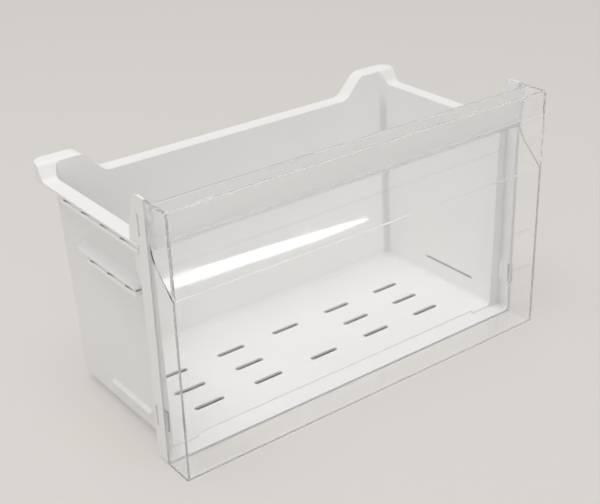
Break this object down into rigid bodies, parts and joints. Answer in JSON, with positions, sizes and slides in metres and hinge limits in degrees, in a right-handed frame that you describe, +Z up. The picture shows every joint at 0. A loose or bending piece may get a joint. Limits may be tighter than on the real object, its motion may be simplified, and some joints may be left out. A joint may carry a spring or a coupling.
{
  "type": "freezer drawer",
  "caption": "Open-topped white freezer drawer tub with slotted floor, side rails and raised back corners, closed by a clipped-in clear front with a scooped finger handle.",
  "frame": {"origin": "under the middle of the whole drawer, level with the underside of the clear front", "axes": "+Z up, -Y is the side of the clear front, +X to the right as seen from the front"},
  "size_m": [0.434, 0.2416, 0.2575],
  "materials": {
    "white_plastic": "satin",
    "clear_plastic": "polished"
  },
  "bodies": {
    "root": {"drawer_tub": "white_plastic", "clear_front": "clear_plastic"}
  },
  "joints": []
}
